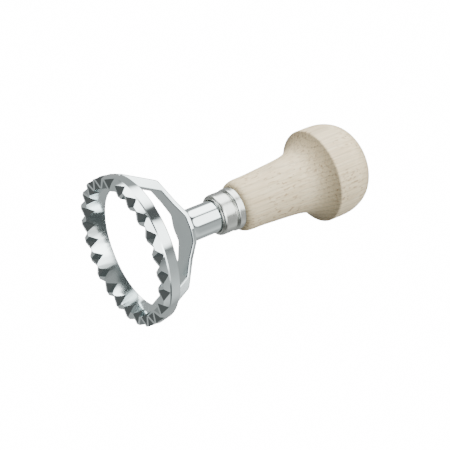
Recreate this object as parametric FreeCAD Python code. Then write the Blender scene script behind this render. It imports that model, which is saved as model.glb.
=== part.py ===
import FreeCAD, Part
import math
import os

# Hand stamp for round filled pasta and pastry: a fluted ring, a strap bridge, a stem and a turned handle.
# Millimetres. The cutting edge lies in the plane Z = 0, and +Z runs along the axis to the knob.
# The two arms of the bridge lie along +X and -X.

V = FreeCAD.Vector
UP = V(0, 0, 1)

# Driving dimensions
edge_diameter = 60.0
overall_length = 115.0
teeth = 24
knob_diameter = 39.4
handle_base_diameter = 21.6
stem_diameter = 13.2

# Cutting ring
tip_r = edge_diameter / 2
ring_depth = 8.0
wall = 4.0
inner_front_r = tip_r - wall
inner_rear_r = tip_r - 1.5 * wall
rib_r = tip_r + 0.2
rib_start = 2.9
rib_rear_r = tip_r - 0.5
rim_round = 0.6

# Teeth: notches from outside and from inside alternate, and leave a zigzag wall
pitch = 2 * math.pi / teeth
land_share = 0.28
edge_land = 0.5
outer_runout = rib_start
inner_runout = 3.6

# Bridge strap
strap_width = 9.6
strap_thickness = 1.9
strap_edge_round = 0.55
leg_out = 1.4
leg_in = wall - leg_out
corner_x = 0.665 * tip_r
corner_z = 22.6
foot_z = ring_depth - 1.6
foot_x = tip_r - 1.6
arm_slope = 0.5
bend_r = 3.2

# Stem, which stands on a round hub where the two arms meet
stem_r = stem_diameter / 2
hub_r = stem_r + 0.6
hub_z = 27.8
flare_x = 1.6 * hub_r
crown_z = corner_z + arm_slope * corner_x

# Ferrule
ferrule_z = 42.8
ferrule_r = 8.5
ferrule_skin = 0.6
ferrule_lip = 1.1
bead_z = ferrule_z + 6.6
wood_z = 52.7
collar_r = ferrule_r + 0.25
stem_gap = 0.15

# Handle
tenon_r = ferrule_r - ferrule_skin - 0.05
tenon_z = ferrule_z + ferrule_lip
base_r = handle_base_diameter / 2
knob_r = knob_diameter / 2
knob_z = 92.4
neck_r = 0.64 * knob_r
neck_z = 82.4

# Hidden stud that joins the stem to the handle
stud_r = 3.0
stud_play = 0.05
stud_low = tenon_z - 9.0
stud_high = tenon_z + 30.0


def at(radius, angle, z):
    return V(radius * math.cos(angle), radius * math.sin(angle), z)


def spin(wire):
    return Part.Face(wire).revolve(V(0, 0, 0), UP, 360)


def lines(points):
    return Part.makePolygon([V(r, 0, z) for r, z in points])


def turned(points):
    """A solid of revolution from a closed outline of (radius, height) corners."""
    return spin(lines(points + points[:1]))


def spline(points, start=None, end=None):
    curve = Part.BSplineCurve()
    spots = [V(r, 0, z) for r, z in points]
    if start is None:
        curve.interpolate(Points=spots)
    else:
        curve.interpolate(Points=spots, InitialTangent=V(start[0], 0, start[1]),
                          FinalTangent=V(end[0], 0, end[1]))
    return curve.toShape()


def rounded_outline(corners, radii):
    """A closed wire in the XZ plane whose corners are rounded by arcs of the given radii."""
    edges = []
    joins = []
    count = len(corners)
    for i in range(count):
        here = V(corners[i][0], 0, corners[i][1])
        before = V(corners[i - 1][0], 0, corners[i - 1][1]) - here
        after = V(corners[(i + 1) % count][0], 0, corners[(i + 1) % count][1]) - here
        before.normalize()
        after.normalize()
        half = before.getAngle(after) / 2
        if radii[i] <= 0:
            joins.append((here, here))
            continue
        reach = radii[i] / math.tan(half)
        middle = (before + after).normalize()
        centre = here + middle * (radii[i] / math.sin(half))
        start = here + before * reach
        end = here + after * reach
        edges.append(Part.Arc(start, centre - middle * radii[i], end).toShape())
        joins.append((start, end))
    for i in range(count):
        start = joins[i][1]
        end = joins[(i + 1) % count][0]
        edges.append(Part.makeLine(start, end))
    return Part.Wire(Part.__sortEdges__(edges))


def notch(apex_r, wall_r, angle, half_angle, runout_z, runout_r):
    """A V-shaped cutter whose valley rises from the edge at apex_r to the wall at runout_z."""
    apex = at(apex_r, angle, 0)
    valley = at(runout_r, angle, runout_z) - apex
    sides = [at(wall_r, angle + side * half_angle, 0) - apex for side in (-1, 1)]
    low = apex - valley * 0.3
    corners = [low, low + sides[0] * 1.6, low + sides[1] * 1.6, low]
    return Part.Face(Part.makePolygon(corners)).extrude(valley * 1.6)


def make_ring():
    ring = turned([
        (inner_front_r, 0), (tip_r, 0), (tip_r, rib_start), (rib_r - 0.15, rib_start + 0.1),
        (rib_r, rib_start + 0.5), (rib_rear_r, ring_depth - rim_round), (rib_rear_r - rim_round, ring_depth),
        (inner_rear_r + rim_round, ring_depth), (inner_rear_r, ring_depth - rim_round),
    ])
    half_share = (1 - land_share) / 2
    inner_wall_r = inner_front_r - (inner_front_r - inner_rear_r) * inner_runout / ring_depth
    cutters = []
    for i in range(teeth):
        angle = i * pitch
        cutters.append(notch(inner_front_r + edge_land, tip_r, angle,
                             half_share * pitch, outer_runout, tip_r))
        cutters.append(notch(tip_r - edge_land, inner_front_r, angle + pitch / 2,
                             half_share * pitch, inner_runout, inner_wall_r))
    return ring.cut(cutters)


def strap_points(offset, leg_offset):
    """Foot, corner and hub points of one face of the strap, offset in from the arm and the leg lines."""
    k = (foot_x - corner_x) / (corner_z - foot_z)
    arm_z = crown_z - offset / math.cos(math.atan(arm_slope))
    leg_x = corner_x - leg_offset / math.cos(math.atan(k))
    # The arm is z = arm_z - arm_slope * x, and the leg is x = leg_x + k * (corner_z - z)
    z = (arm_z - arm_slope * (leg_x + k * corner_z)) / (1 - arm_slope * k)
    flat_z = hub_z + strap_thickness - offset
    return [
        (leg_x + k * (corner_z - foot_z), foot_z), (leg_x + k * (corner_z - z), z),
        ((arm_z - flat_z) / arm_slope, flat_z),
    ]


def make_strap():
    """The arms are thin, and the legs are as thick as the wall of the ring that they grow from."""
    outer = strap_points(0, -leg_out)
    inner = strap_points(strap_thickness, leg_in)
    right = inner[::-1] + outer
    corners = right + [(-x, z) for x, z in reversed(right)]
    bends = [bend_r, bend_r - strap_thickness, 0, 0, bend_r, bend_r - strap_thickness]
    face = Part.Face(rounded_outline(corners, bends + bends[::-1]))
    face.translate(V(0, -hub_r, 0))
    strap = face.extrude(V(0, 2 * hub_r, 0)).common(make_plan()).Solids[0]
    sides = []
    for edge in strap.Edges:
        ends = (edge.valueAt(edge.FirstParameter), edge.valueAt(edge.LastParameter))
        along = abs(ends[0].x - ends[1].x) > 0.01
        beside = min(abs(end.y) for end in ends) > strap_width / 2 - 0.01
        above_foot = ends[0].z + ends[1].z > 2 * foot_z + 0.1
        if along and beside and above_foot:
            sides.append(edge)
    return strap.makeFillet(strap_edge_round, sides)


def make_plan():
    """The strap seen along the axis: two straight arms that widen to the hub."""
    half = strap_width / 2
    lead = math.atan2(half, flare_x) + math.acos(hub_r / math.hypot(half, flare_x))
    touch_x = hub_r * math.cos(lead)
    touch_y = hub_r * math.sin(lead)
    quarter = [V(foot_x + 1, half, 0), V(flare_x, half, 0), V(touch_x, touch_y, 0)]
    arc = Part.Arc(V(touch_x, touch_y, 0), V(0, hub_r, 0), V(-touch_x, touch_y, 0)).toShape()
    right = Part.makePolygon(quarter)
    left = Part.makePolygon([V(-p.x, p.y, 0) for p in quarter])
    upper = right.Edges + [arc] + left.Edges
    lower = [edge.mirror(V(0, 0, 0), V(0, 1, 0)) for edge in upper]
    ends = [Part.makeLine(V(x, -half, 0), V(x, half, 0)) for x in (foot_x + 1, -foot_x - 1)]
    wire = Part.Wire(Part.__sortEdges__(upper + lower + ends))
    return Part.Face(wire).extrude(V(0, 0, 2 * crown_z))


def make_head():
    stem = turned([
        (0, hub_z), (hub_r - 0.5, hub_z), (hub_r - 0.1, hub_z + 0.4), (hub_r - 0.1, hub_z + 1.1),
        (stem_r + 0.35, hub_z + 1.7), (stem_r + 0.1, hub_z + 2.8), (stem_r, hub_z + 4.4),
        (stem_r, tenon_z), (0, tenon_z),
    ])
    head = make_ring().fuse([make_strap(), stem]).removeSplitter()
    bore = Part.makeCylinder(stud_r + stud_play, tenon_z - stud_low, V(0, 0, stud_low))
    return head.cut(bore)


def make_ferrule():
    hole_r = stem_r + stem_gap
    inside_r = tenon_r + 0.05
    return turned([
        (hole_r, ferrule_z + 0.1), (hole_r + 0.15, ferrule_z - 0.2), (hole_r + 0.5, ferrule_z - 0.3),
        (hole_r + 0.8, ferrule_z - 0.1), (hole_r + 0.95, ferrule_z + 0.3), (hole_r + 1.15, ferrule_z + 0.15),
        (ferrule_r - 0.3, ferrule_z + 0.4), (ferrule_r - 0.08, ferrule_z + 0.75),
        (ferrule_r, ferrule_z + 1.3), (ferrule_r - 0.1, bead_z - 0.6), (ferrule_r - 0.25, bead_z - 0.3),
        (collar_r, bead_z + 0.2), (collar_r + 0.1, bead_z + 0.7), (collar_r, wood_z),
        (inside_r, wood_z), (inside_r, tenon_z), (hole_r, tenon_z),
    ])


def make_handle():
    shoulder = spline([
        (collar_r + 0.15, wood_z), (base_r - 0.9, wood_z + 0.9), (base_r - 0.25, wood_z + 2.6),
        (base_r, wood_z + 6.4), (base_r + 0.6, wood_z + 17.3), (base_r + 1.2, wood_z + 25.3),
        (neck_r, neck_z), (neck_r + 0.8, neck_z + 2.7), (neck_r + 3.0, neck_z + 6.3),
        (knob_r - 0.3, knob_z - 0.3),
    ])
    lip = spline([(knob_r - 0.3, knob_z - 0.3), (knob_r - 0.05, knob_z + 0.1), (knob_r, knob_z + 0.8)])
    dome = spline([
        (knob_r, knob_z + 0.8), (0.955 * knob_r, knob_z + 12.4), (0.81 * knob_r, knob_z + 17.3),
        (0.5 * knob_r, knob_z + 21.2), (0, overall_length),
    ], (0, 1), (-1, 0))
    hole_r = stud_r + stud_play
    rest = lines([
        (0, overall_length), (0, stud_high), (hole_r, stud_high), (hole_r, tenon_z), (tenon_r, tenon_z),
        (tenon_r, wood_z), (collar_r + 0.15, wood_z),
    ])
    return spin(Part.Wire(rest.Edges + shoulder.Edges + lip.Edges + dome.Edges))


def make_stud():
    return turned([
        (0, stud_low), (stud_r, stud_low), (stud_r, stud_high - 1.0), (stud_r - 1.0, stud_high),
        (0, stud_high),
    ])


pieces = {
    "cutter_head": make_head(),
    "ferrule": make_ferrule(),
    "handle": make_handle(),
    "stud": make_stud(),
}

os.makedirs("parts", exist_ok=True)
for name, shape in pieces.items():
    solid = shape.Solids[0]
    print(name, len(shape.Solids), "solid, valid:", solid.isValid(), "volume:", round(solid.Volume, 1))
    solid.exportStep("parts/" + name + ".step")
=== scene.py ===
import math

import bmesh
import bpy
from mathutils import Matrix, Vector

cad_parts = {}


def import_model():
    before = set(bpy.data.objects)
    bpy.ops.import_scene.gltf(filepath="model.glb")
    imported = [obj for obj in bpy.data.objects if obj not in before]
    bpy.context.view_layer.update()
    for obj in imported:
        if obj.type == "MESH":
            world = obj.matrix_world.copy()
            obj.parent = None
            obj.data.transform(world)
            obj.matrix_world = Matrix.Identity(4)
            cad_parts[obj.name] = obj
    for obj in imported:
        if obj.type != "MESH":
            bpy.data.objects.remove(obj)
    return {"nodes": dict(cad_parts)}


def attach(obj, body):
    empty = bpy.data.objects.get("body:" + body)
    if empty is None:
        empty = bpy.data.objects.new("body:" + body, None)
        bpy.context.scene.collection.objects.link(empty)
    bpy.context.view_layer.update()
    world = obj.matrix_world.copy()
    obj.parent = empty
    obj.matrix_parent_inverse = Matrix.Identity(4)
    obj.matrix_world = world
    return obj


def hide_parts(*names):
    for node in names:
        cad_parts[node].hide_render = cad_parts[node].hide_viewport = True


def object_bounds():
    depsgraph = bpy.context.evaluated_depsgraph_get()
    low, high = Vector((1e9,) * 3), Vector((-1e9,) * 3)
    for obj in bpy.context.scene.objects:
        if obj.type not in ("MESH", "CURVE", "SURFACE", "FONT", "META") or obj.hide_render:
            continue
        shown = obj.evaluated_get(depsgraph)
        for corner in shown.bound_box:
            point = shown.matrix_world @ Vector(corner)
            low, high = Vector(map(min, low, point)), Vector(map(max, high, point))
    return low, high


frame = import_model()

CAD_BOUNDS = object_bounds()

# Where the photograph was taken from, round the tool's own frame
VIEW_AZIMUTH = -12.93
VIEW_ELEVATION = -28.07
VIEW_ROLL = 67.79
VIEW_DISTANCE = 0.5217
VIEW_AIM = Vector((0.0049, -0.0011, 0.0462))
LENS = 105.2

# The stage: the camera looks up at the tool, so the floor lies lower than the camera
BACKDROP = 16.0
FLOOR_SIZE = 60.0
FLOOR_HEIGHT = -0.26
FLOOR_GLOW = 1.5

# The surroundings that the metal mirrors: an even dim room, and patches of light in it
ROOM = 0.12
SOFT_BOXES = [
    # right, up and toward the photographer; cosines where it starts and is full; brightness
    ((0.00, 0.00, -1.00), -0.10, 0.40, 0.36),
    ((0.00, 0.97, 0.10), 0.82, 0.92, 6.5),
    ((0.72, 0.35, 0.60), 0.865, 0.92, 5.0),
    ((0.40, -0.02, 0.92), 0.925, 0.975, 4.5),
    ((0.48, -0.28, 0.83), 0.90, 0.98, 3.5),
    ((0.52, -0.62, 0.58), 0.93, 0.985, 1.5),
    ((0.05, 0.70, 0.71), 0.93, 0.99, 0.3),
    ((0.85, -0.42, -0.10), 0.74, 0.92, 0.5),
]

# A soft box for the wood: where it stands as the photographer sees it, and its size, distance and power
KEY = (0.25, 0.88, 0.40)
KEY_SIZE = 0.5
KEY_DISTANCE = 0.6
KEY_POWER = 3.0

# The ferrule's outline in millimetres of radius and height, each part from its own starting point
MM = 0.001
BODY_STEP = 0.36
HOLE_STEP = 2.1
SKIN = 0.9
TENON_END = 1.4
GROOVE_START = 6.5
LIP = [(0.0, 1.0), (0.05, 0.3), (0.35, 0.02), (0.7, 0.3), (0.85, 0.8), (1.05, 0.5)]
SHOULDER = [(-0.3, 0.7), (-0.04, 1.4), (0.0, 2.4)]
GROOVE = [(-0.02, -0.9), (-0.15, -0.5), (-0.5, -0.1), (-0.05, 0.25), (-0.3, 0.5)]
COLLAR = [(-0.14, 0.9), (-0.03, 1.5), (-0.08, 2.5)]

LOW, HIGH = CAD_BOUNDS


# ---------------------------------------------------------------- node helpers

def new_material(name):
    material = bpy.data.materials.new(name)
    material.use_nodes = True
    tree = material.node_tree
    return material, tree, tree.nodes["Principled BSDF"]


def add(tree, kind, **settings):
    node = tree.nodes.new(kind)
    for key, value in settings.items():
        if key in node.inputs:
            node.inputs[key].default_value = value
        else:
            setattr(node, key, value)
    return node


def place(tree, scale=(1, 1, 1), shift=(0, 0, 0)):
    """Object coordinates, scaled. A small scale along one axis draws the pattern out along it."""
    coords = add(tree, "ShaderNodeTexCoord")
    mapping = add(tree, "ShaderNodeMapping", Scale=scale, Location=shift)
    tree.links.new(coords.outputs["Object"], mapping.inputs["Vector"])
    return mapping.outputs["Vector"]


def noise(tree, vector, scale, detail, roughness):
    node = add(tree, "ShaderNodeTexNoise", Scale=scale, Detail=detail, Roughness=roughness)
    tree.links.new(vector, node.inputs["Vector"])
    return node.outputs["Fac"]


def ramp(tree, value, stops):
    """Colours or grey levels for a value, given as (position, colour) stops."""
    node = add(tree, "ShaderNodeValToRGB")
    elements = node.color_ramp.elements
    while len(elements) < len(stops):
        elements.new(0.5)
    for element, (position, color) in zip(elements, stops):
        element.position = position
        element.color = (*color, 1) if isinstance(color, tuple) else (color, color, color, 1)
    tree.links.new(value, node.inputs["Fac"])
    return node.outputs["Color"]


def mix(tree, factor, a, b, blend="MIX"):
    node = tree.nodes.new("ShaderNodeMix")
    node.data_type = "RGBA"
    node.blend_type = blend
    for socket, value in ((node.inputs[0], factor), (node.inputs[6], a), (node.inputs[7], b)):
        if hasattr(value, "links"):
            tree.links.new(value, socket)
        else:
            socket.default_value = value
    return node.outputs[2]


def bump(tree, height, strength, distance, normal=None):
    node = add(tree, "ShaderNodeBump", Strength=strength, Distance=distance)
    tree.links.new(height, node.inputs["Height"])
    if normal is not None:
        tree.links.new(normal, node.inputs["Normal"])
    return node.outputs["Normal"]


# ---------------------------------------------------------------- materials

def plated_metal(name, waviness=0.05, color=(0.80, 0.868, 0.878), shine=(0.05, 0.15)):
    """Bright plating over a casting: nearly a mirror, with soft waves, fine haze and small wear marks."""
    material, tree, shader = new_material(name)
    shader.inputs["Metallic"].default_value = 1.0
    haze = noise(tree, place(tree), 180.0, 5.0, 0.6)
    tint = ramp(tree, haze, [(0.3, tuple(0.93 * c for c in color)), (0.7, color)])
    tree.links.new(tint, shader.inputs["Base Color"])
    smudge = noise(tree, place(tree), 45.0, 3.0, 0.6)
    gloss = ramp(tree, smudge, [(0.35, shine[0]), (0.75, shine[1])])
    tree.links.new(gloss, shader.inputs["Roughness"])
    waves = noise(tree, place(tree), 150.0, 1.0, 0.3)
    pits = noise(tree, place(tree), 1400.0, 2.0, 0.5)
    cast = bump(tree, waves, waviness, 0.0004)
    tree.links.new(bump(tree, pits, 0.02, 0.00003, cast), shader.inputs["Normal"])
    return material


def beech():
    """Turned, unfinished beech: long fine fibres, growth rings, and short dark flecks along the grain."""
    material, tree, shader = new_material("turned_beech")
    fibre = noise(tree, place(tree, (1.0, 1.0, 0.03)), 1500.0, 3.0, 0.6)
    tone = ramp(tree, fibre, [
        (0.30, (0.65, 0.51, 0.31)), (0.50, (0.765, 0.62, 0.405)), (0.70, (0.85, 0.72, 0.50)),
    ])
    # The tree's pith ran beside the handle, so the rings cross it as shallow arcs
    rings = add(tree, "ShaderNodeTexWave", wave_type="RINGS", rings_direction="Z",
                Scale=150.0, Distortion=1.6, Detail=2.0)
    rings.inputs["Detail Scale"].default_value = 0.5
    pith = place(tree, (1.0, 1.0, 0.10), (0.030, 0.012, 0.0))
    tree.links.new(pith, rings.inputs["Vector"])
    band = ramp(tree, rings.outputs["Fac"], [(0.0, 0.83), (0.10, 0.93), (0.35, 1.0), (1.0, 0.98)])
    tone = mix(tree, 1.0, tone, band, "MULTIPLY")
    # The flecks keep to patches
    spread = noise(tree, place(tree, (1.0, 1.0, 0.7)), 70.0, 2.0, 0.5)
    patch = ramp(tree, spread, [(0.42, 0.0), (0.53, 1.0)])
    fleck = noise(tree, place(tree, (1.0, 1.0, 0.4)), 1250.0, 1.0, 0.4)
    pores = ramp(tree, fleck, [(0.595, 1.0), (0.66, (0.60, 0.52, 0.46))])
    pores = mix(tree, patch, (1, 1, 1, 1), pores)
    tone = mix(tree, 0.9, tone, pores, "MULTIPLY")
    blotch = noise(tree, place(tree, (1.0, 1.0, 0.4)), 55.0, 2.0, 0.5)
    tone = mix(tree, 1.0, tone, ramp(tree, blotch, [(0.3, 0.93), (0.7, 1.03)]), "MULTIPLY")
    # End grain, where the surface faces along the axis, is darker
    facing = add(tree, "ShaderNodeSeparateXYZ")
    tree.links.new(add(tree, "ShaderNodeTexCoord").outputs["Normal"], facing.inputs[0])
    cut = add(tree, "ShaderNodeMath", operation="ABSOLUTE")
    tree.links.new(facing.outputs["Z"], cut.inputs[0])
    end_grain = ramp(tree, cut.outputs[0], [(0.2, 1.0), (0.7, (0.75, 0.75, 0.735))])
    tone = mix(tree, 1.0, tone, end_grain, "MULTIPLY")
    tree.links.new(tone, shader.inputs["Base Color"])
    rough = ramp(tree, fibre, [(0.3, 0.72), (0.7, 0.60)])
    tree.links.new(rough, shader.inputs["Roughness"])
    # Fine lines round the axis, left by the turning tool
    ripple = add(tree, "ShaderNodeTexWave", bands_direction="Z", Scale=520.0, Distortion=1.0, Detail=1.0)
    tree.links.new(place(tree), ripple.inputs["Vector"])
    turned = bump(tree, ripple.outputs["Fac"], 0.15, 0.00003)
    fibres = bump(tree, fibre, 0.3, 0.00006, turned)
    tree.links.new(bump(tree, pores, 0.35, 0.00006, fibres), shader.inputs["Normal"])
    return material


def dress(obj, material):
    slots = obj.data.materials
    slots.clear()
    slots.append(material)


# ---------------------------------------------------------------- pieces

def stand_in(piece, node):
    """The piece is shown instead of the node's CAD mesh."""
    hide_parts(node)
    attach(piece, "root")


def softened(node, radius):
    """The node's shape with its sharp edges broken, as plating leaves them."""
    mesh = frame["nodes"][node].data.copy()
    piece = bpy.data.objects.new(node + "_plated", mesh)
    bpy.context.scene.collection.objects.link(piece)
    work = bmesh.new()
    work.from_mesh(mesh)
    bmesh.ops.remove_doubles(work, verts=work.verts, dist=0.000004)
    bmesh.ops.dissolve_limit(work, angle_limit=math.radians(1.0), verts=work.verts, edges=work.edges)
    work.to_mesh(mesh)
    work.free()
    edge = piece.modifiers.new("edge", "BEVEL")
    edge.width = radius
    edge.segments = 2
    edge.limit_method = "ANGLE"
    edge.angle_limit = math.radians(24)
    for face in mesh.polygons:
        face.use_smooth = True
    shade = piece.modifiers.new("shade", "WEIGHTED_NORMAL")
    shade.keep_sharp = True
    stand_in(piece, node)
    return piece


def curve_through(points, steps):
    """Points along a smooth curve through the given ones."""
    curve = []
    padded = points[:1] + points + points[-1:]
    for corners in zip(padded, padded[1:], padded[2:], padded[3:]):
        for i in range(steps):
            t = i / steps
            curve.append(tuple(
                0.5 * (2 * q + (r - p) * t + (2 * p - 5 * q + 4 * r - s) * t ** 2
                       + (3 * q - p - 3 * r + s) * t ** 3)
                for p, q, r, s in zip(*corners)))
    return curve + points[-1:]


def lathe(name, outline, segments=128):
    """A ring turned from a closed outline of (radius, height) points."""
    points = []
    for i in range(segments):
        a = 2 * math.pi * i / segments
        points += [(r * math.cos(a), r * math.sin(a), z) for r, z in outline]
    count = len(outline)
    faces = []
    for i in range(segments):
        here = i * count
        after = (i + 1) % segments * count
        for j in range(count):
            k = (j + 1) % count
            faces.append((here + j, after + j, after + k, here + k))
    mesh = bpy.data.meshes.new(name)
    mesh.from_pydata(points, [], faces)
    for face in mesh.polygons:
        face.use_smooth = True
    mesh.set_sharp_from_angle(angle=math.radians(50))
    piece = bpy.data.objects.new(name, mesh)
    bpy.context.scene.collection.objects.link(piece)
    return piece


def from_corner(points, radius, height):
    """Millimetre points put at a starting radius and height."""
    return [(radius + r * MM, height + z * MM) for r, z in points]


def rolled_ferrule():
    """The ferrule with its rolled lip, its groove and its collar, as drawn metal shows them."""
    corners = [Vector(corner) for corner in frame["nodes"]["ferrule"].bound_box]
    bottom = min(corner.z for corner in corners)
    top = max(corner.z for corner in corners)
    collar_r = max(corner.x for corner in corners)
    body_r = collar_r - BODY_STEP * MM
    hole_r = collar_r - HOLE_STEP * MM
    inside_r = collar_r - SKIN * MM
    groove_z = bottom + GROOVE_START * MM
    tenon_z = bottom + TENON_END * MM
    collar = from_corner(COLLAR, collar_r, groove_z)
    outside = from_corner(LIP, hole_r, bottom) + from_corner(SHOULDER, body_r, bottom)
    outside += from_corner(GROOVE, body_r, groove_z) + collar + [(collar[-1][0], top)]
    outline = curve_through(outside, 5) + [(inside_r, top), (inside_r, tenon_z), (hole_r, tenon_z)]
    piece = lathe("ferrule_rolled", outline)
    stand_in(piece, "ferrule")
    return piece


# ---------------------------------------------------------------- stage

def key_light(spot, power):
    """A large soft box above the tool. The metal shows the surroundings instead of it."""
    light = bpy.data.lights.new("key", "AREA")
    light.size = KEY_SIZE
    light.energy = power
    light.color = (1.0, 0.955, 0.88)
    lamp = bpy.data.objects.new("key", light)
    back = from_photographer(*spot)
    lamp.location = (LOW + HIGH) / 2 + back * KEY_DISTANCE
    lamp.rotation_euler = (-back).to_track_quat("-Z", "Y").to_euler()
    lamp.visible_glossy = False
    bpy.context.scene.collection.objects.link(lamp)


def direction(azimuth, elevation):
    """From the tool toward a viewer. Azimuth 0 looks from -Y, and 90 from +X."""
    a = math.radians(azimuth)
    e = math.radians(elevation)
    return Vector((math.sin(a) * math.cos(e), -math.cos(a) * math.cos(e), math.sin(e)))


def floor():
    """A pale floor that neither lights the tool nor shows in its metal."""
    bpy.ops.mesh.primitive_plane_add(size=FLOOR_SIZE, location=(0, 0, FLOOR_HEIGHT))
    plane = bpy.context.object
    plane.name = "stage_floor"
    material, tree, shader = new_material("pale_floor")
    shader.inputs["Base Color"].default_value = (0.9, 0.9, 0.9, 1)
    shader.inputs["Roughness"].default_value = 0.8
    shader.inputs["Emission Color"].default_value = (1, 1, 1, 1)
    shader.inputs["Emission Strength"].default_value = FLOOR_GLOW
    plane.data.materials.append(material)
    plane.visible_glossy = False
    plane.visible_diffuse = False


def lobe(tree, spot, start, end, level):
    """A round patch of light in the surroundings, centred on a direction, soft between two cosines."""
    coords = add(tree, "ShaderNodeTexCoord")
    dot = add(tree, "ShaderNodeVectorMath", operation="DOT_PRODUCT")
    dot.inputs[1].default_value = spot
    tree.links.new(coords.outputs["Generated"], dot.inputs[0])
    fade = add(tree, "ShaderNodeMapRange", interpolation_type="SMOOTHSTEP")
    for socket, value in (("From Min", start), ("From Max", end), ("To Min", 0.0), ("To Max", level)):
        fade.inputs[socket].default_value = value
    tree.links.new(dot.outputs["Value"], fade.inputs["Value"])
    return fade.outputs["Result"]


def total(tree, base, values):
    """A number plus every value."""
    result = None
    for value in values:
        node = add(tree, "ShaderNodeMath", operation="ADD")
        node.inputs[0].default_value = base
        if result is not None:
            tree.links.new(result, node.inputs[0])
        tree.links.new(value, node.inputs[1])
        result = node.outputs[0]
    return result


def from_photographer(right, up, toward):
    """A direction given as the photographer sees it."""
    basis = bpy.context.scene.camera.matrix_world.to_3x3()
    return (basis @ Vector((right, up, toward))).normalized()


def world():
    """A dim room with soft boxes round the tool, and a white backdrop that only the camera sees."""
    sky = bpy.data.worlds.new("studio")
    bpy.context.scene.world = sky
    sky.use_nodes = True
    tree = sky.node_tree
    tent = tree.nodes["Background"]
    tent.inputs["Color"].default_value = (0.965, 1.0, 0.985, 1)
    patches = [lobe(tree, from_photographer(*spot), start, end, level)
               for spot, start, end, level in SOFT_BOXES]
    tree.links.new(total(tree, ROOM, patches), tent.inputs["Strength"])
    backdrop = add(tree, "ShaderNodeBackground", Strength=BACKDROP)
    backdrop.inputs["Color"].default_value = (1, 1, 1, 1)
    seen = add(tree, "ShaderNodeLightPath")
    either = add(tree, "ShaderNodeMixShader")
    tree.links.new(seen.outputs["Is Camera Ray"], either.inputs[0])
    tree.links.new(tent.outputs[0], either.inputs[1])
    tree.links.new(backdrop.outputs[0], either.inputs[2])
    tree.links.new(either.outputs[0], tree.nodes["World Output"].inputs["Surface"])


def camera():
    """The photographer's camera, which is rolled, because the tool lies on its side in the picture."""
    data = bpy.data.cameras.new("camera")
    data.lens = LENS
    data.sensor_width = 36.0
    eye = bpy.data.objects.new("camera", data)
    back = direction(VIEW_AZIMUTH, VIEW_ELEVATION)
    level = (-back).to_track_quat("-Z", "Y").to_matrix().to_4x4()
    turn = Matrix.Rotation(math.radians(VIEW_ROLL), 4, "Z")
    eye.matrix_world = Matrix.Translation(VIEW_AIM + back * VIEW_DISTANCE) @ level @ turn
    bpy.context.scene.collection.objects.link(eye)
    bpy.context.scene.camera = eye


dress(softened("cutter_head", 0.0002), plated_metal("cast_plating"))
dress(rolled_ferrule(), plated_metal("ferrule_plating", 0.12, (0.66, 0.668, 0.64), (0.2, 0.3)))
dress(frame["nodes"]["handle"], beech())
dress(frame["nodes"]["stud"], plated_metal("steel_stud", 0.1, (0.6, 0.6, 0.62)))
camera()
floor()
world()
key_light(KEY, KEY_POWER)
